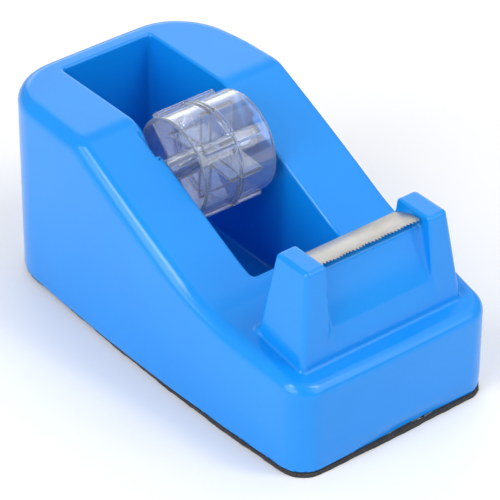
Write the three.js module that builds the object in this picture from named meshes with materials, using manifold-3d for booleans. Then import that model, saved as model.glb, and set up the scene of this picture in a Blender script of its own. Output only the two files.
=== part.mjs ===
// A small desk tape dispenser: a weighted blue shell with a clear plastic spool and a steel cutter.
// Millimetres, +Z up, front (cutter end) toward -Y. The origin is the centre of the base, on the table.
import * as THREE from "three";
import { mergeVertices } from "three/addons/utils/BufferGeometryUtils.js";
import Module from "manifold-3d";

const wasm = await Module();
wasm.setup();

// ---- Driving dimensions ----------------------------------------------------------------------
// Body, seen from above: four large arcs with rounded corners between them.
const bodyWidth = 58;
const bodyLength = 109.4;
const sideBulge = 2.1; // how far each long side bows out at its middle
const endBulge = 0.4; // how far the front and back bow out
const frontCornerRadius = 6.5;
const backCornerRadius = 15;
const wall = 2.2;

// Body, seen from the side. Heights are above the table, "depth" is measured back from the front.
const rimHeight = 1.2; // lower edge of the shell, above the foam pad
const ledgeFrontHeight = 22.9;
const ledgeEndDepth = 34.4;
const ledgeEndHeight = 27.8;
const creaseDepth = 76.3;
const creaseHeight = 48.1;
const backHeight = 48;
const ledgeBlend = 6; // length of each leg of the concave curve between ledge and slope
const creaseBlend = 3.5;

// Well that holds the roll of tape.
const wellFrontDepth = 34.4;
const wellBackDepth = 103.4;
const wellTopHalfWidth = 12.45;
const wellFloorHalfWidth = 12.2;
const wellFloorHeight = 7.3;
const wellEndDraft = 0.7; // how much each end wall leans in over its height
const wellWall = 2.4;

// Tower that carries the cutter.
const towerTopHeight = 46.4;
const towerFootHeight = 21.5;
const towerTopHalfWidth = 19.4;
const towerFootHalfWidth = 22.6;
const towerTopFront = 8.2;
const towerTopBack = 18.6;
const towerFootFront = 5.3;
const towerFootBack = 22;
const earInnerHalfWidth = 14.1;
const towerCoreHeight = 27; // the tower is hollow from below up to here
const towerCoreWall = 2.6;

// Crossbar and blade between the ears, as depth and height.
const panelFoot = [6.1, 27.6];
const panelKink = [8, 29.8];
const panelTop = [11.3, 43];
const crossbarCrown = [14.2, 44.2];
const crossbarBack = [18.9, 41.9];
const bladeThickness = 0.4;
const bladeEdge = [10.3, 45.2];
const bladeCrown = [14.6, 45.4];
const bladeBack = [18.9, 42.7];
const bladeHalfWidth = 13.7;
const toothPitch = 1;
const toothDepth = 0.8;

// Spool.
const axleDepth = 65.8;
const axleHeight = 39.2;
const axleRadius = 1.5;
const axleHalfLength = 13.35;
const slotDepth = 1.4; // how far each slot is sunk into the side wall of the well
const slotHalfWidth = 1.65;
const slotDirection = new THREE.Vector2(0.6, 0.8); // back and up
const slotLength = 20;
const hubBore = 1.6;
const hubRadius = 2.65;
const hubHalfLength = 12;
const drumRadius = 12;
const drumWall = 1;
const drumLeft = -9.8;
const drumRight = 9.8;
const drumJoint = 0;
const jointGap = 0.1;
const collarRadius = 12.3; // thickened band where the two halves meet
const collarWidth = 0.9;
const ribCount = 4;
const ribFirstAngle = THREE.MathUtils.degToRad(47);
const ribTipRadius = 12.95;
const ribWidth = 2.2;
const ribLeft = -8.4;
const ribRight = 7.8;
const webThickness = 0.8; // webs: full-length plates from hub to drum, under the ribs of the left half
const finLeft = -2.7; // fins: shorter plates midway between the ribs, in both halves
const finRight = 6.3;

// Weight and base.
const padThickness = 1;
const padInset = 0.25;
const adhesiveThickness = 0.1;
const adhesiveInset = 1.2;
const adhesiveGap = 0.04;
const plateThickness = 1.6;
const plateGap = 0.3;
const ballastGap = 0.5;
const ballastBottom = 3.2;
const ballastTop = 19.2;

const halfLength = bodyLength / 2;
const atDepth = (depth) => depth - halfLength;

// ---- Solids ----------------------------------------------------------------------------------
function solidFrom(geometry) {
  const bare = geometry.clone();
  bare.deleteAttribute("normal");
  bare.deleteAttribute("uv");
  const merged = mergeVertices(bare, 1e-4);
  const vertProperties = merged.attributes.position.array;
  const triVerts = new Uint32Array(merged.index.array);
  return new wasm.Manifold(new wasm.Mesh({ numProp: 3, vertProperties, triVerts }));
}

function geometryFrom(solid) {
  const mesh = solid.getMesh();
  const geometry = new THREE.BufferGeometry();
  geometry.setAttribute("position", new THREE.BufferAttribute(mesh.vertProperties, 3));
  geometry.setIndex(new THREE.BufferAttribute(mesh.triVerts, 1));
  geometry.computeVertexNormals();
  return geometry;
}

// A shape drawn as (x, y), raised from z = bottom to z = top.
function raised(shape, bottom, top, curveSegments = 12) {
  const geometry = new THREE.ExtrudeGeometry(shape, { depth: top - bottom, bevelEnabled: false, curveSegments });
  return solidFrom(geometry.translate(0, 0, bottom));
}

// A shape drawn as (y, z), running from x = left to x = right.
function acrossX(shape, left, right, curveSegments = 12) {
  const geometry = new THREE.ExtrudeGeometry(shape, { depth: right - left, bevelEnabled: false, curveSegments });
  const turn = new THREE.Matrix4().makeBasis(
    new THREE.Vector3(0, 1, 0),
    new THREE.Vector3(0, 0, 1),
    new THREE.Vector3(1, 0, 0),
  );
  return solidFrom(geometry.applyMatrix4(turn).translate(left, 0, 0));
}

// A shape drawn as (x, z), running from y = front to y = back.
function acrossY(shape, front, back) {
  const geometry = new THREE.ExtrudeGeometry(shape, { depth: back - front, bevelEnabled: false });
  const turn = new THREE.Matrix4().makeBasis(
    new THREE.Vector3(1, 0, 0),
    new THREE.Vector3(0, 0, 1),
    new THREE.Vector3(0, -1, 0),
  );
  return solidFrom(geometry.applyMatrix4(turn).translate(0, back, 0));
}

function polygon(points) {
  return new THREE.Shape(points.map(([a, b]) => new THREE.Vector2(a, b)));
}

// A box whose four sides lean: a trapezoid seen from the front and another seen from the side.
function taperedBox({ bottom, top, bottomHalfWidth, topHalfWidth, bottomSpan, topSpan }) {
  const front = polygon([
    [-bottomHalfWidth, bottom],
    [bottomHalfWidth, bottom],
    [topHalfWidth, top],
    [-topHalfWidth, top],
  ]);
  const side = polygon([
    [atDepth(bottomSpan[0]), bottom],
    [atDepth(bottomSpan[1]), bottom],
    [atDepth(topSpan[1]), top],
    [atDepth(topSpan[0]), top],
  ]);
  return acrossY(front, -halfLength, halfLength).intersect(acrossX(side, -bodyWidth / 2, bodyWidth / 2));
}

// ---- Body shell ------------------------------------------------------------------------------
// Radius of a large arc that stands out by `bulge` over a chord of 2 * half.
const arcRadius = (half, bulge) => (half * half + bulge * bulge) / (2 * bulge);

const sideRadius = arcRadius(halfLength, sideBulge);
const endRadius = arcRadius(bodyWidth / 2, endBulge);
const sideCentre = bodyWidth / 2 - sideRadius;
const endCentre = halfLength - endRadius;

// Centre of the corner arc that touches the side arc and the end arc from inside.
function cornerCentre(radius) {
  const centre = new THREE.Vector2(0, 0);
  for (let step = 0; step < 20; step += 1) {
    centre.y = endCentre + Math.sqrt((endRadius - radius) ** 2 - centre.x ** 2);
    centre.x = sideCentre + Math.sqrt((sideRadius - radius) ** 2 - centre.y ** 2);
  }
  return centre;
}

function planShape(inset) {
  const front = cornerCentre(frontCornerRadius);
  const back = cornerCentre(backCornerRadius);
  const frontSide = Math.atan2(front.y, front.x - sideCentre);
  const frontEnd = Math.atan2(front.y - endCentre, front.x);
  const backSide = Math.atan2(back.y, back.x - sideCentre);
  const backEnd = Math.atan2(back.y - endCentre, back.x);
  const shape = new THREE.Shape();
  shape.absarc(front.x, -front.y, frontCornerRadius - inset, -frontEnd, -frontSide, false);
  shape.absarc(sideCentre, 0, sideRadius - inset, -frontSide, backSide, false);
  shape.absarc(back.x, back.y, backCornerRadius - inset, backSide, backEnd, false);
  shape.absarc(0, endCentre, endRadius - inset, backEnd, Math.PI - backEnd, false);
  shape.absarc(-back.x, back.y, backCornerRadius - inset, Math.PI - backEnd, Math.PI - backSide, false);
  shape.absarc(-sideCentre, 0, sideRadius - inset, Math.PI - backSide, Math.PI + frontSide, false);
  shape.absarc(-front.x, -front.y, frontCornerRadius - inset, Math.PI + frontSide, Math.PI + frontEnd, false);
  shape.absarc(0, -endCentre, endRadius - inset, Math.PI + frontEnd, 2 * Math.PI - frontEnd, false);
  return shape;
}

// The top of the body seen from the side: ledge, slope, crease and a slightly falling top.
function topProfile(drop, floor) {
  const past = 2; // runs out beyond both ends, where the plan outline trims it
  const ledgeSlope = (ledgeEndHeight - ledgeFrontHeight) / ledgeEndDepth;
  const ledge = new THREE.Vector2(atDepth(ledgeEndDepth), ledgeEndHeight - drop);
  const crease = new THREE.Vector2(atDepth(creaseDepth), creaseHeight - drop);
  const front = new THREE.Vector2(atDepth(-past), ledgeFrontHeight - drop - past * ledgeSlope);
  const back = new THREE.Vector2(halfLength + past, backHeight - drop);
  const along = (from, to, distance) => from.clone().add(to.clone().sub(from).setLength(distance));
  const shape = new THREE.Shape();
  shape.moveTo(front.x, floor);
  shape.lineTo(back.x, floor);
  shape.lineTo(back.x, back.y);
  const creaseStart = along(crease, back, creaseBlend);
  const creaseEnd = along(crease, ledge, creaseBlend);
  shape.lineTo(creaseStart.x, creaseStart.y);
  shape.quadraticCurveTo(crease.x, crease.y, creaseEnd.x, creaseEnd.y);
  const ledgeStart = along(ledge, crease, ledgeBlend);
  const ledgeFinish = along(ledge, front, ledgeBlend);
  shape.lineTo(ledgeStart.x, ledgeStart.y);
  shape.quadraticCurveTo(ledge.x, ledge.y, ledgeFinish.x, ledgeFinish.y);
  shape.lineTo(front.x, front.y);
  return shape;
}

function bodyBlock(inset, floor) {
  const plan = raised(planShape(inset), floor, creaseHeight + 1);
  return plan.intersect(acrossX(topProfile(inset, floor), -bodyWidth / 2, bodyWidth / 2, 6));
}

// The well, grown by `grow` on its sides and below, and open above the top of the body.
function wellBlock(grow) {
  return taperedBox({
    bottom: wellFloorHeight - grow,
    top: creaseHeight + 4,
    bottomHalfWidth: wellFloorHalfWidth + grow,
    topHalfWidth: wellTopHalfWidth + grow,
    bottomSpan: [wellFrontDepth + wellEndDraft - grow, wellBackDepth - wellEndDraft + grow],
    topSpan: [wellFrontDepth - grow, wellBackDepth + grow],
  });
}

function towerBlock(inset, top) {
  return taperedBox({
    bottom: towerFootHeight,
    top,
    bottomHalfWidth: towerFootHalfWidth - inset,
    topHalfWidth: towerTopHalfWidth - inset,
    bottomSpan: [towerFootFront + inset, towerFootBack - inset],
    topSpan: [towerTopFront + inset, towerTopBack - inset],
  });
}

// What is cut away between the ears, in front of the panel and above the crossbar.
function earGap() {
  const points = [panelFoot, panelKink, panelTop, crossbarCrown, crossbarBack, [30, 36], [30, 60], [0, 60], [0, 27.6]];
  const side = polygon(points.map(([depth, height]) => [atDepth(depth), height]));
  return acrossX(side, -earInnerHalfWidth, earInnerHalfWidth);
}

// The slot starts at the axle with a round end and runs out of the slope.
function slotShape() {
  const start = new THREE.Vector2(atDepth(axleDepth), axleHeight);
  const end = start.clone().addScaledVector(slotDirection, slotLength);
  const across = Math.atan2(slotDirection.x, -slotDirection.y);
  const shape = new THREE.Shape();
  shape.absarc(start.x, start.y, slotHalfWidth, across, across + Math.PI, false);
  const side = new THREE.Vector2(-slotDirection.y, slotDirection.x).multiplyScalar(slotHalfWidth);
  shape.lineTo(end.x - side.x, end.y - side.y);
  shape.lineTo(end.x + side.x, end.y + side.y);
  return shape;
}

function bodyShell() {
  const slotReach = wellTopHalfWidth + slotDepth - 0.1;
  const cavity = bodyBlock(wall, rimHeight - 1).subtract(wellBlock(wellWall));
  const tower = towerBlock(0, towerTopHeight).subtract(earGap());
  const towerCore = towerBlock(towerCoreWall, towerCoreHeight).intersect(
    taperedBox({
      bottom: 0,
      top: towerCoreHeight,
      bottomHalfWidth: towerTopHalfWidth,
      topHalfWidth: towerTopHalfWidth,
      bottomSpan: [0, wellFrontDepth - wellWall],
      topSpan: [0, wellFrontDepth - wellWall],
    }),
  );
  return bodyBlock(0, rimHeight)
    .add(tower)
    .subtract(cavity)
    .subtract(towerCore)
    .subtract(wellBlock(0))
    .subtract(acrossX(slotShape(), -slotReach, slotReach, 10));
}

// ---- Cutter blade ----------------------------------------------------------------------------
// A curved strip with a row of small teeth along its front edge.
function cutterBlade() {
  const point = ([depth, height]) => new THREE.Vector2(atDepth(depth), height);
  const edge = point(bladeEdge);
  const crown = point(bladeCrown);
  const back = point(bladeBack);
  const strip = new THREE.Shape();
  strip.moveTo(edge.x, edge.y);
  strip.quadraticCurveTo(crown.x, crown.y, back.x, back.y);
  strip.lineTo(back.x, back.y - bladeThickness);
  strip.quadraticCurveTo(crown.x, crown.y - bladeThickness, edge.x, edge.y - bladeThickness);
  const plan = new THREE.Shape();
  plan.moveTo(-bladeHalfWidth, back.x + 1);
  const toothCount = Math.floor((2 * bladeHalfWidth) / toothPitch);
  const pitch = (2 * bladeHalfWidth) / toothCount;
  for (let tooth = 0; tooth < toothCount; tooth += 1) {
    const left = -bladeHalfWidth + tooth * pitch;
    plan.lineTo(left, edge.x + toothDepth);
    plan.lineTo(left + pitch / 2, edge.x);
  }
  plan.lineTo(bladeHalfWidth, edge.x + toothDepth);
  plan.lineTo(bladeHalfWidth, back.x + 1);
  const bar = acrossX(strip, -bladeHalfWidth, bladeHalfWidth, 8);
  return bar.intersect(raised(plan, back.y - 3, crown.y + 3));
}

// ---- Spool -----------------------------------------------------------------------------------
// A ring around the X axis, from a closed profile of [x, radius] points in either order.
function ring(profile, segments) {
  const points = profile.map(([x, radius]) => new THREE.Vector2(radius, x));
  if (THREE.ShapeUtils.area(points) < 0) points.reverse();
  const geometry = new THREE.LatheGeometry([...points, points[0]], segments);
  return solidFrom(geometry.rotateZ(-Math.PI / 2));
}

const spoolSegments = 48;

// A flat plate that stands out from the axis at `angle`, from a shape drawn as (x, radius).
function radialPlate(shape, thickness, angle) {
  const geometry = new THREE.ExtrudeGeometry(shape, { depth: thickness, bevelEnabled: false });
  geometry.translate(0, 0, -thickness / 2);
  return solidFrom(geometry.rotateX(angle));
}

// One half of the spool: a drum open at its outer end, a hub, ribs outside and plates inside.
// Each entry of `plates` is how far a set of four plates is turned from the ribs, and where it ends.
function spoolHalf({ joint, rim, hubEnd, ribEnd, plates }) {
  const collarEnd = joint + Math.sign(rim - joint) * collarWidth;
  const bore = drumRadius - drumWall;
  const drum = ring(
    [
      [joint, bore],
      [joint, collarRadius],
      [collarEnd, collarRadius],
      [collarEnd, drumRadius],
      [rim, drumRadius],
      [rim, bore],
    ],
    spoolSegments,
  );
  const hub = ring(
    [
      [joint, hubBore],
      [joint, hubRadius],
      [hubEnd, hubRadius],
      [hubEnd, hubBore],
    ],
    24,
  );
  const band = (end, inner, outer) =>
    polygon([
      [joint, inner],
      [joint, outer],
      [end, outer],
      [end, inner],
    ]);
  let half = drum.add(hub);
  for (let index = 0; index < ribCount; index += 1) {
    const angle = ribFirstAngle + (index * 2 * Math.PI) / ribCount;
    half = half.add(radialPlate(band(ribEnd, bore + 0.5, ribTipRadius), ribWidth, angle));
    for (const [turn, end] of plates) {
      half = half.add(radialPlate(band(end, hubBore + 0.5, bore + 0.5), webThickness, angle + turn));
    }
  }
  return half;
}

// ---- Weight and base -------------------------------------------------------------------------
function ballastBlock() {
  const block = raised(planShape(wall + ballastGap), ballastBottom, ballastTop);
  const margin = wellWall + ballastGap;
  const clearance = polygon([
    [-wellTopHalfWidth - margin, atDepth(wellFrontDepth) - margin],
    [wellTopHalfWidth + margin, atDepth(wellFrontDepth) - margin],
    [wellTopHalfWidth + margin, halfLength + 1],
    [-wellTopHalfWidth - margin, halfLength + 1],
  ]);
  return block.subtract(raised(clearance, 0, creaseHeight));
}

// ---- Assembly --------------------------------------------------------------------------------
function part(name, solid, color, roughness, metalness = 0) {
  const material = new THREE.MeshStandardMaterial({ color, roughness, metalness });
  const mesh = new THREE.Mesh(geometryFrom(solid), material);
  mesh.name = name;
  return mesh;
}

const clear = { color: 0xdfe8f2, roughness: 0.08 };

const spool = new THREE.Group();
spool.position.set(0, atDepth(axleDepth), axleHeight);
const leftHalf = spoolHalf({
  joint: drumJoint - jointGap / 2,
  rim: drumLeft,
  hubEnd: -hubHalfLength,
  ribEnd: ribLeft,
  plates: [
    [0, drumLeft],
    [Math.PI / ribCount, finLeft],
  ],
});
const rightHalf = spoolHalf({
  joint: drumJoint + jointGap / 2,
  rim: drumRight,
  hubEnd: hubHalfLength,
  ribEnd: ribRight,
  plates: [[Math.PI / ribCount, finRight]],
});
const axleProfile = [
  [-axleHalfLength, 0],
  [-axleHalfLength, axleRadius],
  [axleHalfLength, axleRadius],
  [axleHalfLength, 0],
];
spool.add(part("spool_left_half", leftHalf, clear.color, clear.roughness));
spool.add(part("spool_right_half", rightHalf, clear.color, clear.roughness));
spool.add(part("spool_axle", ring(axleProfile, 24), clear.color, clear.roughness));

const adhesiveBottom = padThickness + adhesiveGap;
const plateBottom = rimHeight + adhesiveGap;

const dispenser = new THREE.Group();
dispenser.add(part("body_shell", bodyShell(), 0x3f9cf4, 0.35));
dispenser.add(part("cutter_blade", cutterBlade(), 0xc9c7c2, 0.3, 1));
dispenser.add(spool);
dispenser.add(part("ballast_block", ballastBlock(), 0x8d8a84, 0.9));
dispenser.add(
  part("base_plate", raised(planShape(wall + plateGap), plateBottom, plateBottom + plateThickness), 0x2b2d30, 0.6),
);
dispenser.add(
  part(
    "pad_adhesive",
    raised(planShape(adhesiveInset), adhesiveBottom, adhesiveBottom + adhesiveThickness),
    0xd8d4c4,
    0.5,
  ),
);
dispenser.add(part("foam_pad", raised(planShape(padInset), 0, padThickness), 0x2a2a2e, 0.95));

export default dispenser;
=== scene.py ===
"""Looks of the small weighted tape dispenser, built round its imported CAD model."""

import math

import bpy
import numpy as np
from mathutils import Matrix, Vector


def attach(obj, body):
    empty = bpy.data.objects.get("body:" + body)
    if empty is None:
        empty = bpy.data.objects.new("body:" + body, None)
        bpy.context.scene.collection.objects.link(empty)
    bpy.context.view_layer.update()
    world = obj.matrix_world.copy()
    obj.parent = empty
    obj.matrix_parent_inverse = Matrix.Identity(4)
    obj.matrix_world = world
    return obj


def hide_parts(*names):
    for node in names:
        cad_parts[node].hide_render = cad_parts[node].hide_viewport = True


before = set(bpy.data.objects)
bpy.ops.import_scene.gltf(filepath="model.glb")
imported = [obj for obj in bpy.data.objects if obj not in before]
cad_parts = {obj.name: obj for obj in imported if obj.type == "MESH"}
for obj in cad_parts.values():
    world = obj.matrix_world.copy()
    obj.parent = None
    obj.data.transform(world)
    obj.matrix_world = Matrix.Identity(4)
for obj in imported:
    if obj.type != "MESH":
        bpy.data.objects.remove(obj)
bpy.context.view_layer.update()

# ---- Dimensions, in millimetres. "Depth" is measured back from the front. --------------------
MM = 0.001
BODY_WIDTH = 58.0
BODY_LENGTH = 109.4
HALF_LENGTH = BODY_LENGTH / 2
SIDE_BULGE = 2.1
END_BULGE = 0.4
FRONT_CORNER_RADIUS = 6.5
BACK_CORNER_RADIUS = 15.0
WALL = 2.2
RIM_HEIGHT = 1.2
TOP_EDGE_LEFT = 3.6  # the roundness of the body's top edge changes on its way round
TOP_EDGE_RIGHT = 1.1
TOP_EDGE_FRONT = 2.4
TOP_EDGE_BACK = 3.4
RIM_EDGE_RADIUS = 0.25

LEDGE_FRONT = (0.0, 22.9)
LEDGE_END = (34.4, 27.8)
CREASE = (76.3, 48.1)
BACK_TOP = (109.4, 48.0)
CREASE_BLEND = 1.1
LEDGE_BLEND = 1.6

WELL_FRONT = (34.4, 35.1)  # depth of the front wall at its top and at the floor
WELL_BACK = (103.4, 102.7)
WELL_HALF_WIDTH = (12.45, 12.2)
WELL_FLOOR_HEIGHT = 7.3
WELL_CORNER_RADIUS = 1.1
WELL_FLOOR_RADIUS = 0.7
WELL_EDGE_RADIUS = 0.7
WELL_WALL = 2.4

TOWER_FOOT_HEIGHT = 21.5
TOWER_TOP_HEIGHT = 46.4
TOWER_HALF_WIDTH = (19.4, 22.6)  # at the top and at the foot
TOWER_FRONT = (8.2, 5.3)
TOWER_BACK = (18.6, 22.0)
TOWER_EDGE_RADIUS = 1.2
EAR_TOP_RADIUS = 0.9
EAR_INNER_RADIUS = 0.5
EAR_INNER_HALF_WIDTH = 14.1
TOWER_FILLET = 0.5
TOWER_BACK_FILLET = 1.6
PANEL_FILLET = 1.6
PANEL_FOOT_FILLET = 4.0
PANEL_FOOT_RADIUS = 2.0
PANEL_FOOT = (6.1, 27.6)
PANEL_KINK = (8.0, 29.8)
PANEL_TOP = (11.3, 43.0)
CROSSBAR_CROWN = (14.2, 44.2)
CROSSBAR_BACK = (18.9, 41.9)

# The moulding sank in a little along the foot of its front wall.
SINK_DEPTH = 0.8
SINK_CENTRE = 4.0
SINK_HALF_WIDTH = 17.0
SINK_HEIGHT = 2.6

AXLE_DEPTH = 65.8
AXLE_HEIGHT = 39.2
AXLE_RADIUS = 1.5
AXLE_HALF_LENGTH = 13.35
SLOT_HALF_WIDTH = 1.65
SLOT_REACH = 13.75
SLOT_DIRECTION = (0.6, 0.8)
SLOT_LENGTH = 20.0

HUB_BORE = 1.6
HUB_RADIUS = 2.65
HUB_HALF_LENGTH = 12.0
DRUM_RADIUS = 12.0
DRUM_BORE = 11.0
DRUM_LEFT = -9.8
DRUM_RIGHT = 9.8
DRUM_JOINT = 0.0
JOINT_GAP = 0.1
COLLAR_RADIUS = 12.35
COLLAR_WIDTH = 0.9
RIB_ANGLE = math.radians(47)
RIB_TIP_RADIUS = 12.95
RIB_WIDTH = 2.2
RIB_LEFT_END = -8.4
RIB_RIGHT_END = 7.8
WEB_THICKNESS = 0.8
FIN_LEFT_END = -2.7
FIN_RIGHT_END = 6.3
FIN_CORNER = 1.3
PLATE_OVERLAP = 0.5  # how far ribs, webs and fins run into the tube that they stand on

BLADE_EDGE = (10.3, 45.2)
BLADE_CROWN = (14.6, 45.4)
BLADE_BACK = (18.9, 42.7)
BLADE_THICKNESS = 0.4
BLADE_HALF_WIDTH = 13.7
TOOTH_COUNT = 31
TOOTH_DEPTH = 0.65

PAD_THICKNESS = 1.0
ADHESIVE_LIFT = 0.01  # gap between the pad and the adhesive
ADHESIVE_TOP = 1.19

# Fineness of the meshes, and how far the grids reach past the shapes.
SHELL_STEP = 0.5
SHELL_MARGIN = 1.1
SPOOL_STEP = 0.27
SPOOL_MARGIN = 0.6
OUTLINE_SPACING = 0.5
STEPS_PER_TOOTH = 12
BLADE_ROWS = 15
AXLE_SIDES = 48

CAMERA_LOCATION = (-0.36663, -0.45733, 0.42453)
CAMERA_AZIMUTH = math.radians(-38.951)
CAMERA_ELEVATION = math.radians(34.660)
CAMERA_ROLL = math.radians(-0.326)
CAMERA_LENS = 229.92


def at_depth(depth):
    return depth - HALF_LENGTH


# ---- Signed distances: negative inside, in millimetres ---------------------------------------
def round_intersection(a, b, radius):
    corner = np.hypot(np.maximum(radius + a, 0), np.maximum(radius + b, 0))
    return np.minimum(-radius, np.maximum(a, b)) + corner


def round_union(a, b, radius):
    corner = np.hypot(np.maximum(radius - a, 0), np.maximum(radius - b, 0))
    return np.maximum(radius, np.minimum(a, b)) - corner


def left_of(y, z, start, end):
    """Distance to the left of the line from start to end, each a (depth, height)."""
    along = np.array([end[0] - start[0], end[1] - start[1]])
    along = along / np.linalg.norm(along)
    return -along[1] * (y - at_depth(start[0])) + along[0] * (z - start[1])


def smooth_step(value, low, high):
    t = np.clip((value - low) / (high - low), 0, 1)
    return t * t * (3 - 2 * t)


def arc_radius(half, bulge):
    return (half * half + bulge * bulge) / (2 * bulge)


SIDE_RADIUS = arc_radius(HALF_LENGTH, SIDE_BULGE)
END_RADIUS = arc_radius(BODY_WIDTH / 2, END_BULGE)
SIDE_CENTRE = BODY_WIDTH / 2 - SIDE_RADIUS
END_CENTRE = HALF_LENGTH - END_RADIUS


def corner_centre(radius):
    """Centre of the corner arc that touches the side arc and the end arc from inside."""
    x = y = 0.0
    for _ in range(20):
        y = END_CENTRE + math.sqrt((END_RADIUS - radius) ** 2 - x * x)
        x = SIDE_CENTRE + math.sqrt((SIDE_RADIUS - radius) ** 2 - y * y)
    return x, y


def plan_distance(x, y):
    """Distance outside the body's outline, seen from above."""
    x = np.abs(x)
    result = None
    for sign, radius in ((-1, FRONT_CORNER_RADIUS), (1, BACK_CORNER_RADIUS)):
        v = y * sign
        cx, cy = corner_centre(radius)
        side = np.hypot(x - SIDE_CENTRE, v) - SIDE_RADIUS
        end = np.hypot(x, v - END_CENTRE) - END_RADIUS
        corner = np.hypot(x - cx, v - cy) - radius
        past_side = (cx - SIDE_CENTRE) * (v - cy) - cy * (x - cx) >= 0
        past_end = (x - cx) * (cy - END_CENTRE) - (v - cy) * cx >= 0
        half = np.where(past_side & past_end, corner, np.maximum(side, end))
        result = half if result is None else np.where(v >= 0, half, result)
    return result


def roof_distance(y, z):
    """Distance above the ledge, slope and top, seen from the side."""
    ledge = left_of(y, z, LEDGE_FRONT, LEDGE_END)
    slope = left_of(y, z, LEDGE_END, CREASE)
    top = left_of(y, z, CREASE, BACK_TOP)
    return round_union(ledge, round_intersection(slope, top, CREASE_BLEND), LEDGE_BLEND)


def well_distance(x, y, z, grow=0.0):
    share = (z - WELL_FLOOR_HEIGHT) / (CREASE[1] - WELL_FLOOR_HEIGHT)
    flank = np.abs(x) - WELL_HALF_WIDTH[1] - share * (WELL_HALF_WIDTH[0] - WELL_HALF_WIDTH[1])
    front = at_depth(WELL_FRONT[1] + share * (WELL_FRONT[0] - WELL_FRONT[1])) - y
    back = y - at_depth(WELL_BACK[1] + share * (WELL_BACK[0] - WELL_BACK[1]))
    walls = round_intersection(flank - grow, np.maximum(front, back) - grow, WELL_CORNER_RADIUS)
    return round_intersection(walls, WELL_FLOOR_HEIGHT - grow - z, WELL_FLOOR_RADIUS)


def tower_distance(x, y, z):
    lean = (TOWER_HALF_WIDTH[1] - TOWER_HALF_WIDTH[0]) / (TOWER_TOP_HEIGHT - TOWER_FOOT_HEIGHT)
    flank = np.abs(x) - TOWER_HALF_WIDTH[0] - (TOWER_TOP_HEIGHT - z) * lean
    front = left_of(y, z, (TOWER_FRONT[1], TOWER_FOOT_HEIGHT), (TOWER_FRONT[0], TOWER_TOP_HEIGHT))
    back = left_of(y, z, (TOWER_BACK[0], TOWER_TOP_HEIGHT), (TOWER_BACK[1], TOWER_FOOT_HEIGHT))
    walls = round_intersection(flank / math.hypot(1, lean), np.maximum(front, back), TOWER_EDGE_RADIUS)
    tower = round_intersection(walls, z - TOWER_TOP_HEIGHT, EAR_TOP_RADIUS)
    tower = np.maximum(tower, TOWER_FOOT_HEIGHT - z)
    panel = left_of(y, z, PANEL_KINK, PANEL_TOP)
    rise = left_of(y, z, PANEL_TOP, CROSSBAR_CROWN)
    fall = left_of(y, z, CROSSBAR_CROWN, CROSSBAR_BACK)
    front_face = round_union(panel, left_of(y, z, PANEL_FOOT, PANEL_KINK), PANEL_FOOT_FILLET)
    bar = round_intersection(front_face, round_intersection(rise, fall, 0.6), 0.3)
    gap = round_intersection(np.abs(x) - EAR_INNER_HALF_WIDTH, -bar, PANEL_FILLET)
    low = 1 - smooth_step(z, PANEL_FOOT[1] + 0.5, PANEL_KINK[1] + 3)
    return round_intersection(tower, -gap, EAR_INNER_RADIUS + (PANEL_FOOT_RADIUS - EAR_INNER_RADIUS) * low)


def slot_distance(x, y, z):
    """The two slots for the axle's ends, sunk into the side walls of the well."""
    along_y, along_z = SLOT_DIRECTION
    dy = y - at_depth(AXLE_DEPTH)
    dz = z - AXLE_HEIGHT
    along = np.clip(dy * along_y + dz * along_z, 0, SLOT_LENGTH)
    strip = np.hypot(dy - along * along_y, dz - along * along_z) - SLOT_HALF_WIDTH
    return round_intersection(strip, np.abs(x) - SLOT_REACH, 0.3)


def top_edge_radius(x, y):
    sides = TOP_EDGE_LEFT + (TOP_EDGE_RIGHT - TOP_EDGE_LEFT) * smooth_step(x, -16, 20)
    front = smooth_step(-y, HALF_LENGTH - 22, HALF_LENGTH - 5)
    back = smooth_step(y, HALF_LENGTH - 24, HALF_LENGTH - 5)
    return sides + (TOP_EDGE_FRONT - sides) * front + (TOP_EDGE_BACK - sides) * back


def shell_distance(x, y, z):
    outline = plan_distance(x, y)
    roof = roof_distance(y, z)
    sink = np.exp(-(((x - SINK_CENTRE) / SINK_HALF_WIDTH) ** 2))
    sink = sink * np.exp(-(((z - RIM_HEIGHT) / SINK_HEIGHT) ** 2)) * (y < 0)
    body = round_intersection(outline + SINK_DEPTH * sink, roof, top_edge_radius(x, y))
    behind = smooth_step(y, at_depth(TOWER_BACK[0]), at_depth(TOWER_BACK[1]))
    fillet = TOWER_FILLET + (TOWER_BACK_FILLET - TOWER_FILLET) * behind
    body = round_union(body, tower_distance(x, y, z), fillet)
    cavity = np.maximum(np.maximum(outline, roof) + WALL, -well_distance(x, y, z, WELL_WALL))
    body = round_intersection(body, -cavity, RIM_EDGE_RADIUS)
    body = round_intersection(body, -well_distance(x, y, z), WELL_EDGE_RADIUS)
    body = round_intersection(body, -slot_distance(x, y, z), 0.3)
    return round_intersection(body, RIM_HEIGHT - z, RIM_EDGE_RADIUS)


def plate_distance(y, z, angle, thickness):
    """A plate that stands out from the axis at an angle, as thick as said."""
    across = np.abs(z * math.cos(angle) - y * math.sin(angle)) - thickness / 2
    return np.maximum(across, -(y * math.cos(angle) + z * math.sin(angle)))


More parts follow.
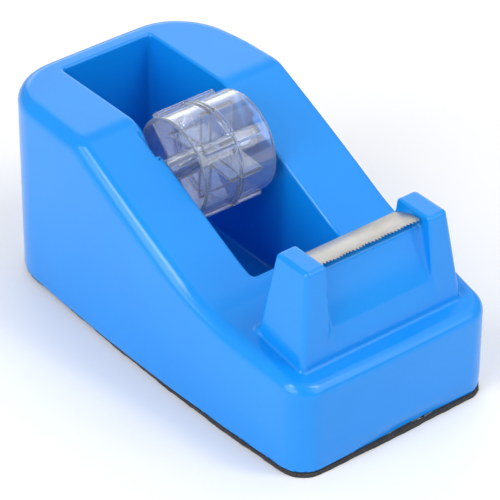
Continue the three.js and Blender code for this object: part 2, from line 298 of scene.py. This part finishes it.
def spool_distance(x, y, z, joint, rim, hub_end, rib_end, web_end, fin_end):
    """One half of the spool, about its own axis."""
    side = math.copysign(1, rim - joint)
    radius = np.hypot(y, z)
    start = side * (joint - x)

    def span(end):
        return np.maximum(start, side * (x - end))

    def tube(inner, outer, end, edge):
        walls = np.maximum(inner - radius, radius - outer)
        return round_intersection(walls, span(end), edge)

    half = tube(DRUM_BORE, DRUM_RADIUS, rim, 0.3)
    collar = tube(DRUM_BORE, COLLAR_RADIUS, joint + side * COLLAR_WIDTH, 0.25)
    half = round_union(half, collar, 0.25)
    half = np.minimum(half, tube(HUB_BORE, HUB_RADIUS, hub_end, 0.2))
    for quarter in range(4):
        angle = RIB_ANGLE + quarter * math.pi / 2
        rib = plate_distance(y, z, angle, RIB_WIDTH)
        foot = DRUM_BORE + PLATE_OVERLAP - radius
        rib = round_intersection(rib, np.maximum(radius - RIB_TIP_RADIUS, foot), 0.3)
        rib = round_intersection(rib, span(rib_end), 0.3)
        half = round_union(half, rib, 0.2)
        inside = np.maximum(radius - DRUM_BORE - PLATE_OVERLAP, HUB_BORE + PLATE_OVERLAP - radius)
        plates = [(angle + math.pi / 4, fin_end, FIN_CORNER)]
        if web_end is not None:
            plates.append((angle, web_end, 0.2))
        for plate_angle, end, corner in plates:
            flat = round_intersection(inside, span(end), corner)
            plate = round_intersection(plate_distance(y, z, plate_angle, WEB_THICKNESS), flat, 0.25)
            half = round_union(half, plate, 0.25)
    return half


# ---- Meshes ----------------------------------------------------------------------------------
def gradient(field, points, step=0.02):
    columns = []
    for axis in range(3):
        shift = np.zeros(3)
        shift[axis] = step
        columns.append(field(*(points + shift).T) - field(*(points - shift).T))
    return np.stack(columns, 1) / (2 * step)


def surface_net(field, low, high, step):
    """Vertices, outward normals and quads of the surface where the field is zero."""
    axes = [np.arange(low[i], high[i] + step, step) for i in range(3)]
    values = field(axes[0][:, None, None], axes[1][None, :, None], axes[2][None, None, :])
    size = np.array(values.shape)
    inside = values < 0
    corners = [(i, j, k) for i in (0, 1) for j in (0, 1) for k in (0, 1)]

    def shifted(array, corner):
        i, j, k = corner
        return array[i : size[0] - 1 + i, j : size[1] - 1 + j, k : size[2] - 1 + k]

    count = sum(shifted(inside, corner).astype(np.int8) for corner in corners)
    cells = np.argwhere((count > 0) & (count < 8))
    index = np.full(size - 1, -1)
    index[tuple(cells.T)] = np.arange(len(cells))
    total = np.zeros((len(cells), 3))
    crossings = np.zeros(len(cells))
    for corner in corners:
        for axis in range(3):
            if corner[axis]:
                continue
            first = np.array(corner)
            second = first + np.eye(3, dtype=int)[axis]
            a = values[tuple((cells + first).T)]
            b = values[tuple((cells + second).T)]
            cut = (a < 0) != (b < 0)
            share = np.where(cut, a / np.where(cut, a - b, 1), 0)
            point = cells + first + share[:, None] * (second - first)
            total += point * cut[:, None]
            crossings += cut
    points = np.array([axis[0] for axis in axes]) + step * total / crossings[:, None]
    for _ in range(4):
        slope = gradient(field, points)
        length = np.maximum((slope**2).sum(1), 0.25)
        move = np.clip(field(*points.T) / length, -step / 2, step / 2)
        points = points - slope * move[:, None]
    normals = gradient(field, points)
    normals /= np.linalg.norm(normals, axis=1, keepdims=True)
    quads = []
    for axis in range(3):
        u, v = (axis + 1) % 3, (axis + 2) % 3
        ahead = [slice(None)] * 3
        ahead[axis] = slice(1, None)
        behind = [slice(None)] * 3
        behind[axis] = slice(None, -1)
        for flip in (False, True):
            a, b = inside[tuple(behind)], inside[tuple(ahead)]
            edges = np.argwhere(b & ~a if flip else a & ~b)
            edges = edges[(edges[:, u] > 0) & (edges[:, v] > 0)]
            ring = []
            for du, dv in ((1, 1), (0, 1), (0, 0), (1, 0)):
                cell = edges.copy()
                cell[:, u] -= du
                cell[:, v] -= dv
                ring.append(index[tuple(cell.T)])
            quads.append(np.stack(ring[::-1] if flip else ring, 1))
    return points, normals, np.concatenate(quads)


def mesh_piece(name, points, faces, body, material, slot, nodes, normals=None, sharp=None):
    """A piece from vertices in millimetres. It rides on a body and stands for CAD nodes."""
    mesh = bpy.data.meshes.new(name)
    mesh.from_pydata((np.asarray(points) * MM).tolist(), [], [list(face) for face in faces])
    mesh.validate()
    mesh.shade_smooth()
    if normals is not None:
        mesh.normals_split_custom_set_from_vertices(np.asarray(normals).tolist())
    if sharp is not None:
        mesh.set_sharp_from_angle(angle=math.radians(sharp))
    mesh.materials.append(material)
    piece = bpy.data.objects.new(name, mesh)
    bpy.context.scene.collection.objects.link(piece)
    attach(piece, body)
    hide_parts(*nodes)


def outline_loop(spacing):
    """Points round the body's outline, anticlockwise, with their outward normals."""
    fx, fy = corner_centre(FRONT_CORNER_RADIUS)
    bx, by = corner_centre(BACK_CORNER_RADIUS)
    front_side = math.atan2(fy, fx - SIDE_CENTRE)
    front_end = math.atan2(fy - END_CENTRE, fx)
    back_side = math.atan2(by, bx - SIDE_CENTRE)
    back_end = math.atan2(by - END_CENTRE, bx)
    right = [
        ((0, -END_CENTRE), END_RADIUS, -math.pi / 2, -front_end),
        ((fx, -fy), FRONT_CORNER_RADIUS, -front_end, -front_side),
        ((SIDE_CENTRE, 0), SIDE_RADIUS, -front_side, back_side),
        ((bx, by), BACK_CORNER_RADIUS, back_side, back_end),
        ((0, END_CENTRE), END_RADIUS, back_end, math.pi / 2),
    ]
    points, normals = [], []
    for (cx, cy), radius, start, end in right:
        steps = max(2, round(radius * (end - start) / spacing))
        for angle in np.linspace(start, end, steps, endpoint=False):
            normals.append((math.cos(angle), math.sin(angle)))
            points.append((cx + radius * normals[-1][0], cy + radius * normals[-1][1]))
    points, normals = np.array(points), np.array(normals)
    mirror = np.array([-1, 1])
    back = np.array([[0, HALF_LENGTH]])
    all_points = np.concatenate([points, back, points[:0:-1] * mirror])
    all_normals = np.concatenate([normals, [[0, 1]], normals[:0:-1] * mirror])
    return all_points, all_normals


def stacked_sheet(rings):
    """A closed slab from rings of equally many points, bottom first."""
    count = len(rings[0])
    points = np.concatenate([*rings, [rings[0].mean(0)], [rings[-1].mean(0)]])
    low, high = len(points) - 2, len(points) - 1
    faces = []
    for i in range(count):
        j = (i + 1) % count
        faces.append((low, j, i))
        for level in range(len(rings) - 1):
            base = level * count
            faces.append((base + i, base + j, base + count + j, base + count + i))
        top = (len(rings) - 1) * count
        faces.append((high, top + i, top + j))
    return points, faces


def lathe(profile, segments):
    """A closed body turned about the X axis, from (x, radius) points between two poles."""
    points = [(profile[0][0], 0, 0), (profile[-1][0], 0, 0)]
    for x, radius in profile:
        for k in range(segments):
            angle = 2 * math.pi * k / segments
            points.append((x, radius * math.cos(angle), radius * math.sin(angle)))
    faces = []
    for k in range(segments):
        n = (k + 1) % segments
        faces.append((0, 2 + k, 2 + n))
        for level in range(len(profile) - 1):
            a = 2 + level * segments
            b = a + segments
            faces.append((a + n, a + k, b + k, b + n))
        last = 2 + (len(profile) - 1) * segments
        faces.append((1, last + n, last + k))
    return np.array(points), [face[::-1] for face in faces]


# ---- Materials -------------------------------------------------------------------------------
class Nodes:
    """A material's node tree, with short ways to add and join nodes."""

    def __init__(self, name):
        self.material = bpy.data.materials.new(name)
        self.material.use_nodes = True
        self.tree = self.material.node_tree
        self.shader = self.tree.nodes["Principled BSDF"]

    def add(self, kind, **settings):
        node = self.tree.nodes.new(kind)
        for key, value in settings.items():
            setattr(node, key, value)
        return node

    def join(self, source, target):
        self.tree.links.new(source, target)

    def set(self, **values):
        for key, value in values.items():
            self.shader.inputs[key.replace("_", " ")].default_value = value

    def place(self, scale=(1, 1, 1)):
        """Object coordinates, stretched."""
        coordinates = self.add("ShaderNodeTexCoord")
        mapping = self.add("ShaderNodeMapping")
        mapping.inputs["Scale"].default_value = scale
        self.join(coordinates.outputs["Object"], mapping.inputs["Vector"])
        return mapping.outputs["Vector"]

    def noise(self, scale, detail=3.0, roughness=0.5, stretch=(1, 1, 1)):
        node = self.add("ShaderNodeTexNoise")
        node.inputs["Scale"].default_value = scale
        node.inputs["Detail"].default_value = detail
        node.inputs["Roughness"].default_value = roughness
        self.join(self.place(stretch), node.inputs["Vector"])
        return node.outputs["Fac"]

    def ramp(self, source, stops):
        node = self.add("ShaderNodeValToRGB")
        elements = node.color_ramp.elements
        while len(elements) < len(stops):
            elements.new(0.5)
        for element, (position, color) in zip(elements, stops):
            element.position = position
            element.color = (*color, 1)
        self.join(source, node.inputs["Fac"])
        return node.outputs["Color"]

    def levels(self, source, low, high, target):
        """The source, spread from low to high, on a socket of the shader."""
        node = self.add("ShaderNodeMapRange")
        node.inputs["To Min"].default_value = low
        node.inputs["To Max"].default_value = high
        self.join(source, node.inputs["Value"])
        self.join(node.outputs["Result"], self.shader.inputs[target])

    def bump(self, *layers):
        """Height layers, each (source, distance in metres, strength), on the shader's normal."""
        normal = None
        for source, distance, strength in layers:
            node = self.add("ShaderNodeBump")
            node.inputs["Distance"].default_value = distance
            node.inputs["Strength"].default_value = strength
            self.join(source, node.inputs["Height"])
            if normal is not None:
                self.join(normal, node.inputs["Normal"])
            normal = node.outputs["Normal"]
        self.join(normal, self.shader.inputs["Normal"])


def shell_plastic():
    nodes = Nodes("shell_plastic")
    tint = nodes.noise(38, 4)
    color = nodes.ramp(tint, [(0.3, (0.003, 0.250, 0.775)), (0.7, (0.004, 0.268, 0.825))])
    nodes.join(color, nodes.shader.inputs["Base Color"])
    nodes.levels(nodes.noise(210, 5, 0.6), 0.16, 0.25, "Roughness")
    skin = nodes.noise(900, 2)
    waves = nodes.noise(60, 2)
    nodes.bump((skin, 0.00002, 0.03), (waves, 0.0003, 0.012))
    nodes.set(IOR=1.46)
    return nodes.material


def clear_plastic(name, roughness):
    """Clear where it is seen face on, hazy and pale where it is seen edge on."""
    nodes = Nodes(name)
    tint = nodes.noise(90, 3)
    color = nodes.ramp(tint, [(0.3, (0.82, 0.89, 1.0)), (0.7, (0.93, 0.96, 1.0))])
    nodes.join(color, nodes.shader.inputs["Base Color"])
    view = nodes.add("ShaderNodeLayerWeight")
    view.inputs["Blend"].default_value = 0.2
    nodes.levels(view.outputs["Facing"], 0.995, 0.45, "Transmission Weight")
    nodes.levels(nodes.noise(160, 3), roughness * 0.6, roughness * 1.6, "Roughness")
    nodes.bump((nodes.noise(150, 2), 0.0004, 0.22), (nodes.noise(700, 2), 0.00005, 0.08))
    nodes.set(IOR=1.45, Coat_Weight=0.7, Coat_Roughness=0.03)
    return nodes.material


def blade_steel():
    nodes = Nodes("blade_steel")
    grain = nodes.noise(300, 4, 0.6, (14, 1, 1))
    stain = nodes.noise(160, 5, 0.65)
    color = nodes.ramp(stain, [(0.32, (0.40, 0.388, 0.364)), (0.62, (0.49, 0.485, 0.468))])
    nodes.join(color, nodes.shader.inputs["Base Color"])
    nodes.levels(grain, 0.36, 0.50, "Roughness")
    nodes.bump((grain, 0.00004, 0.15), (nodes.noise(420, 3), 0.00005, 0.08))
    nodes.set(Metallic=1.0)
    return nodes.material


def pad_foam():
    nodes = Nodes("pad_foam")
    cells = nodes.noise(2600, 4, 0.7)
    color = nodes.ramp(cells, [(0.35, (0.012, 0.012, 0.014)), (0.78, (0.075, 0.072, 0.072))])
    nodes.join(color, nodes.shader.inputs["Base Color"])
    nodes.levels(nodes.noise(500, 3), 0.75, 0.95, "Roughness")
    nodes.bump((cells, 0.0002, 0.35))
    return nodes.material


def adhesive_film():
    nodes = Nodes("adhesive_film")
    blotch = nodes.noise(450, 4, 0.6)
    color = nodes.ramp(blotch, [(0.5, (0.02, 0.02, 0.022)), (0.72, (0.45, 0.44, 0.41))])
    nodes.join(color, nodes.shader.inputs["Base Color"])
    nodes.levels(nodes.noise(900, 2), 0.1, 0.35, "Roughness")
    nodes.bump((blotch, 0.0003, 0.5))
    return nodes.material


def plate_plastic():
    nodes = Nodes("plate_plastic")
    color = nodes.ramp(nodes.noise(90, 4), [(0.3, (0.028, 0.030, 0.033)), (0.7, (0.05, 0.052, 0.056))])
    nodes.join(color, nodes.shader.inputs["Base Color"])
    nodes.levels(nodes.noise(400, 3), 0.45, 0.65, "Roughness")
    nodes.bump((nodes.noise(1500, 3), 0.0001, 0.3))
    return nodes.material


def cast_cement():
    nodes = Nodes("cast_cement")
    grit = nodes.noise(700, 6, 0.7)
    color = nodes.ramp(grit, [(0.3, (0.17, 0.16, 0.145)), (0.7, (0.42, 0.40, 0.37))])
    nodes.join(color, nodes.shader.inputs["Base Color"])
    nodes.levels(nodes.noise(250, 4), 0.8, 0.97, "Roughness")
    nodes.bump((grit, 0.0006, 0.6))
    return nodes.material


def floor_paper():
    """Plain pale paper, the same all over."""
    nodes = Nodes("floor_paper")
    nodes.levels(nodes.noise(40, 3), 0.6, 0.7, "Roughness")
    nodes.set(Base_Color=(0.9, 0.9, 0.9, 1))
    return nodes.material


# ---- Pieces ----------------------------------------------------------------------------------
def make_shell():
    across = BODY_WIDTH / 2 + SHELL_MARGIN
    along = HALF_LENGTH + SHELL_MARGIN
    low = (-across, -along, RIM_HEIGHT - SHELL_MARGIN)
    high = (across, along, CREASE[1] + SHELL_MARGIN)
    points, normals, faces = surface_net(shell_distance, low, high, SHELL_STEP)
    mesh_piece("shell", points, faces, "base", shell_plastic(), "shell_plastic", ["body_shell"], normals)


def make_spool():
    centre = np.array([0, at_depth(AXLE_DEPTH), AXLE_HEIGHT])
    gap = JOINT_GAP / 2
    left = (DRUM_JOINT - gap, DRUM_LEFT, -HUB_HALF_LENGTH, RIB_LEFT_END, DRUM_LEFT, FIN_LEFT_END)
    right = (DRUM_JOINT + gap, DRUM_RIGHT, HUB_HALF_LENGTH, RIB_RIGHT_END, None, FIN_RIGHT_END)
    material = clear_plastic("clear_plastic", 0.03)
    reach = RIB_TIP_RADIUS + SPOOL_MARGIN
    for name, half in (("left", left), ("right", right)):
        ends = sorted((half[0], half[2]))
        points, normals, faces = surface_net(
            lambda x, y, z: spool_distance(x, y, z, *half),
            (ends[0] - SPOOL_MARGIN, -reach, -reach),
            (ends[1] + SPOOL_MARGIN, reach, reach),
            SPOOL_STEP,
        )
        points = points + centre
        nodes = [f"spool_{name}_half"]
        mesh_piece(f"spool_{name}", points, faces, "spool", material, "clear_plastic", nodes, normals)


def make_axle():
    bevel = 0.35
    end = []
    for angle in np.linspace(math.pi / 2, 0, 5):
        x = -AXLE_HALF_LENGTH + bevel * (1 - math.sin(angle))
        end.append((x, AXLE_RADIUS - bevel * (1 - math.cos(angle))))
    profile = end + [(-x, radius) for x, radius in end[::-1]]
    points, faces = lathe(profile, AXLE_SIDES)
    points = points + np.array([0, at_depth(AXLE_DEPTH), AXLE_HEIGHT])
    material = clear_plastic("axle_plastic", 0.05)
    mesh_piece("axle_pin", points, faces, "axle", material, "clear_plastic", ["spool_axle"], sharp=35)


def make_blade():
    """A curved strip, thinned towards a row of saw teeth along its front edge."""
    columns = TOOTH_COUNT * STEPS_PER_TOOTH + 1
    edge, crown, back = (np.array([at_depth(d), h]) for d, h in (BLADE_EDGE, BLADE_CROWN, BLADE_BACK))
    length = np.linalg.norm(back - edge)
    points = []
    for column, x in enumerate(np.linspace(-BLADE_HALF_WIDTH, BLADE_HALF_WIDTH, columns)):
        tooth, step = divmod(column, STEPS_PER_TOOTH)
        phase = step / STEPS_PER_TOOTH
        dip = 2 * min(phase, 1 - phase)
        jitter = 0.22 * math.sin(7.3 * tooth) + 0.08 * math.sin(2.1 * column)
        start = TOOTH_DEPTH * max(0.0, 1 - dip + jitter) / length
        upper, lower = [], []
        for t in start + (1 - start) * np.linspace(0, 1, BLADE_ROWS) ** 1.4:
            point = (1 - t) ** 2 * edge + 2 * t * (1 - t) * crown + t * t * back
            slope = 2 * (1 - t) * (crown - edge) + 2 * t * (back - crown)
            normal = np.array([-slope[1], slope[0]]) / np.linalg.norm(slope)
            thickness = BLADE_THICKNESS * min(1.0, 0.25 + (t - start) * length / 0.8)
            upper.append((x, *point))
            lower.append((x, *(point - normal * thickness)))
        points += upper + lower[::-1]
    loop = 2 * BLADE_ROWS
    faces = []
    for column in range(columns - 1):
        a = column * loop
        b = a + loop
        for k in range(loop):
            n = (k + 1) % loop
            faces.append((a + k, a + n, b + n, b + k))
    last = (columns - 1) * loop
    for k in range(BLADE_ROWS - 1):
        faces.append((k + 1, k, loop - 1 - k, loop - 2 - k))
        faces.append((last + k, last + k + 1, last + loop - 2 - k, last + loop - 1 - k))
    mesh_piece("blade", points, faces, "base", blade_steel(), "blade_steel", ["cutter_blade"], sharp=40)


def pad_offset(points):
    """How far the pad's edge stands outside the body's outline, round the loop."""
    x, y = points.T
    left = -np.clip(0.47 + 0.018 * y, -0.05, 1.0)
    right = np.full(len(x), -0.2)
    front = np.full(len(x), 0.05)
    back = np.full(len(x), -0.5)
    side = np.where(x < 0, left, right)
    offset = front + (side - front) * smooth_step(y, -HALF_LENGTH + 1, -HALF_LENGTH + 9)
    return offset + (back - offset) * smooth_step(y, HALF_LENGTH - 22, HALF_LENGTH - 6)


def wave(points, seed):
    """Small unevenness of a cut edge, in millimetres."""
    x, y = points.T
    total = np.zeros(len(x))
    for k, (length, height) in enumerate(((21.0, 0.07), (9.0, 0.05), (3.7, 0.035), (1.3, 0.02))):
        total += height * np.sin(2 * math.pi * (x * 0.9 + y * 1.07) / length + seed + 1.7 * k)
    return total


def make_pad():
    points, normals = outline_loop(OUTLINE_SPACING)
    offset = pad_offset(points)
    levels = (  # height, bulge and wave seed
        (0.0, -0.10, 0.3),
        (0.12, 0.0, 0.3),
        (0.5, 0.02, 1.1),
        (0.88, 0.0, 2.0),
        (PAD_THICKNESS, -0.12, 2.0),
    )
    rings = []
    for height, bulge, seed in levels:
        edge = points + normals * (offset + bulge + wave(points, seed))[:, None]
        rings.append(np.column_stack([edge, np.full(len(edge), height)]))
    mesh_piece("pad", *stacked_sheet(rings), "base", pad_foam(), "pad_foam", ["foam_pad"], sharp=50)
    squeeze = offset - 0.9 + 2.2 * wave(points, 4.0)
    rings = []
    middle = (PAD_THICKNESS + ADHESIVE_TOP) / 2
    levels = ((PAD_THICKNESS + ADHESIVE_LIFT, -0.06), (middle, 0.0), (ADHESIVE_TOP, -0.06))
    for height, bulge in levels:
        edge = points + normals * (squeeze + bulge)[:, None]
        rings.append(np.column_stack([edge, np.full(len(edge), height)]))
    points, faces = stacked_sheet(rings)
    mesh_piece("adhesive", points, faces, "base", adhesive_film(), "adhesive", ["pad_adhesive"], sharp=50)


def finish_hidden_nodes():
    """The ballast and the base plate keep their CAD shapes."""
    for node, material in (("ballast_block", cast_cement()), ("base_plate", plate_plastic())):
        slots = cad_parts[node].data.materials
        slots.clear()
        slots.append(material)


# ---- Stage -----------------------------------------------------------------------------------
def make_camera():
    azimuth, elevation, roll = CAMERA_AZIMUTH, CAMERA_ELEVATION, CAMERA_ROLL
    right = Vector((math.cos(azimuth), math.sin(azimuth), 0))
    level = math.cos(elevation)
    back = Vector((math.sin(azimuth) * level, -math.cos(azimuth) * level, math.sin(elevation)))
    up = back.cross(right)
    turned_right = math.cos(roll) * right - math.sin(roll) * up
    turned_up = math.sin(roll) * right + math.cos(roll) * up
    camera = bpy.data.objects.new("camera", bpy.data.cameras.new("camera"))
    camera.data.lens = CAMERA_LENS
    camera.data.sensor_width = 36
    camera.data.clip_start = 0.05
    camera.data.clip_end = 20
    rotation = Matrix((turned_right, turned_up, back)).transposed()
    camera.matrix_world = Matrix.Translation(CAMERA_LOCATION) @ rotation.to_4x4()
    bpy.context.scene.collection.objects.link(camera)
    bpy.context.scene.camera = camera


def area_light(name, location, target, size, power):
    lamp = bpy.data.lights.new(name, "AREA")
    lamp.shape = "RECTANGLE"
    lamp.size, lamp.size_y = size
    lamp.energy = power
    light = bpy.data.objects.new(name, lamp)
    light.location = location
    light.rotation_euler = (Vector(target) - Vector(location)).to_track_quat("-Z", "Y").to_euler()
    bpy.context.scene.collection.objects.link(light)


def make_stage():
    half = 3.0
    steps = 24
    marks = np.linspace(-half, half, steps + 1)
    points = [(x, y, 0) for y in marks for x in marks]
    faces = []
    for j in range(steps):
        for i in range(steps):
            a = j * (steps + 1) + i
            faces.append((a, a + 1, a + steps + 2, a + steps + 1))
    mesh = bpy.data.meshes.new("floor")
    mesh.from_pydata(points, [], faces)
    mesh.materials.append(floor_paper())
    floor = bpy.data.objects.new("floor", mesh)
    bpy.context.scene.collection.objects.link(floor)
    world = bpy.data.worlds.new("studio")
    world.use_nodes = True
    background = world.node_tree.nodes["Background"]
    background.inputs["Color"].default_value = (1, 1, 1, 1)
    background.inputs["Strength"].default_value = 0.45
    bpy.context.scene.world = world
    centre = (0, 0, 0.03)
    area_light("key", (-1.15, -0.15, 0.55), centre, (1.0, 0.9), 8.4)
    area_light("front", (0.39, -0.98, 0.78), centre, (0.9, 0.9), 4.7)
    area_light("back", (0.57, 0.70, 0.63), centre, (1.0, 0.45), 1.3)
    area_light("low_strip", (0.66, 0.98, 0.38), centre, (1.0, 0.3), 2.0)
    area_light("overhead", (0.67, -0.07, 1.11), centre, (0.8, 0.8), 1.2)
    area_light("left_lamp", (-0.66, -0.04, 1.0), centre, (0.18, 0.45), 2.6)
    area_light("right_lamp", (0.36, -0.47, 1.04), centre, (0.18, 0.45), 2.6)
    bpy.context.scene.view_settings.view_transform = "Standard"


make_camera()
make_stage()
make_shell()
make_spool()
make_axle()
make_blade()
make_pad()
finish_hidden_nodes()
